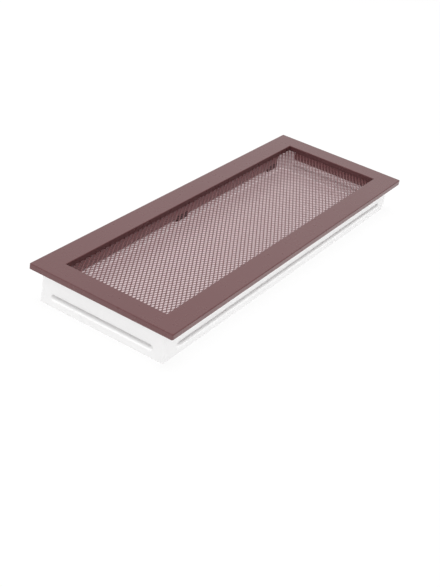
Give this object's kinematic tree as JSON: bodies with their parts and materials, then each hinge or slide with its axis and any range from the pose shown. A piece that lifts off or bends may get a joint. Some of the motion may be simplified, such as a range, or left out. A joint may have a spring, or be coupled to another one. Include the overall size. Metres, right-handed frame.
{
  "type": "fireplace vent grille",
  "caption": "Rectangular warm-air grille: a flat bordered face with an expanded metal mesh, snapped by spring clips into a folded sleeve that is built into the wall.",
  "frame": {"origin": "middle of the sleeve's rear rim, in the plane of the rim", "axes": "+Z out of the wall towards the room, X along the long sides, Y along the short sides"},
  "size_m": [0.49, 0.17, 0.041],
  "materials": {
    "brown_coat": "satin brown powder coat",
    "brown_mesh": "satin brown powder coat on expanded metal",
    "white_coat": "matt white coat",
    "spring_steel": "dark blued spring steel"
  },
  "bodies": {
    "sleeve": {"mounting_frame": "white_coat"},
    "face": {"face_frame": "brown_coat", "mesh_panel": "brown_mesh", "long_strip_near": "brown_coat", "long_strip_far": "brown_coat", "short_strip_left": "brown_coat", "short_strip_right": "brown_coat", "clip_near_left": "spring_steel", "clip_near_middle": "spring_steel", "clip_near_right": "spring_steel", "clip_far_left": "spring_steel", "clip_far_middle": "spring_steel", "clip_far_right": "spring_steel"}
  },
  "joints": [
    {"name": "front_pull", "type": "slide", "parent": "sleeve", "child": "face", "axis": [0, 0, 1], "range_m": [0, 0.045], "deforming": ["clip_near_left", "clip_near_middle", "clip_near_right", "clip_far_left", "clip_far_middle", "clip_far_right"]}
  ]
}
